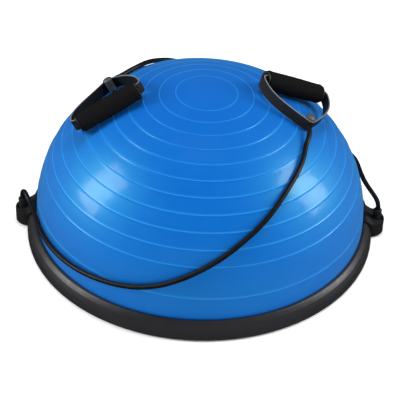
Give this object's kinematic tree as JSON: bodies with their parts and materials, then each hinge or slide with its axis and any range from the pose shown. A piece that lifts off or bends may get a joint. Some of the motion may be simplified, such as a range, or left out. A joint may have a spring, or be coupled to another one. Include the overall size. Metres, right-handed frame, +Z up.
{
  "type": "balance dome trainer",
  "caption": "Inflated half-ball balance trainer on a round platform, with elastic bands and foam hand grips laid over the dome.",
  "frame": {"origin": "on the floor, under the centre of the round base", "axes": "+Z up; +X towards the right-hand ear, along the line through both ears; -Y towards the front, which the front band crosses"},
  "size_m": [0.626, 0.584, 0.2918],
  "materials": {
    "blue_vinyl": "glossy blue inflated vinyl with fine raised rings",
    "rim_plastic": "satin dark grey moulded plastic",
    "black_plastic": "black moulded plastic, slightly grained",
    "base_plastic": "black moulded plastic",
    "rubber": "matt black rubber",
    "foam": "matt black closed-cell foam",
    "webbing": "woven dark grey webbing",
    "cord": "satin black elastic cord",
    "moulded_grey": "moulded grey plastic",
    "tube_plastic": "plain moulded plastic tube",
    "steel": "zinc-plated screw steel"
  },
  "bodies": {
    "base": {"base_platform": "base_plastic", "rim_ring": "rim_plastic", "dome_bladder": "blue_vinyl", "valve_seat": "rubber", "ear_right": "black_plastic", "ear_left": "black_plastic", "foot_pad_1": "rubber", "foot_pad_2": "rubber", "foot_pad_3": "rubber", "foot_pad_4": "rubber", "foot_pad_5": "rubber", "foot_pad_6": "rubber", "foot_pad_7": "rubber", "foot_pad_8": "rubber", "rim_screw_1": "steel", "rim_screw_2": "steel", "rim_screw_3": "steel", "rim_screw_4": "steel", "rim_screw_5": "steel", "rim_screw_6": "steel", "rim_screw_7": "steel", "rim_screw_8": "steel", "rim_screw_9": "steel", "rim_screw_10": "steel", "ear_screw_right_front": "steel", "ear_screw_right_back": "steel", "ear_screw_left_front": "steel", "ear_screw_left_back": "steel"},
    "valve_plug": {"valve_plug": "black_plastic"},
    "band_a": {"webbing_a": "webbing", "cord_stop_a": "moulded_grey", "cord_a": "cord", "cord_plug_a": "rubber"},
    "grip_a": {"foam_grip_a": "foam", "core_tube_a": "tube_plastic", "grip_cap_a_1": "black_plastic", "grip_cap_a_2": "black_plastic"},
    "band_b": {"webbing_b": "webbing", "cord_stop_b": "moulded_grey", "cord_b": "cord", "cord_plug_b": "rubber"},
    "grip_b": {"foam_grip_b": "foam", "core_tube_b": "tube_plastic", "grip_cap_b_1": "black_plastic", "grip_cap_b_2": "black_plastic"}
  },
  "joints": [
    {"name": "valve_plug_pull", "type": "slide", "parent": "base", "child": "valve_plug", "axis": [0, 1, 0], "range_m": [0, 0.02]},
    {"name": "band_a_lift", "type": "slide", "parent": "base", "child": "band_a", "axis": [0, 0, 1], "range_m": [0, 0.3]},
    {"name": "grip_a_spin", "type": "hinge", "parent": "band_a", "child": "grip_a", "pos_m": [0.1436, 0.04281, 0.25575], "axis": [-0.8511, -0.3021, 0.4293], "continuous": true},
    {"name": "band_b_lift", "type": "slide", "parent": "base", "child": "band_b", "axis": [0, 0, 1], "range_m": [0, 0.3]},
    {"name": "grip_b_spin", "type": "hinge", "parent": "band_b", "child": "grip_b", "pos_m": [-0.15038, -0.02896, 0.25416], "axis": [0.8469, 0.3031, 0.437], "continuous": true}
  ]
}
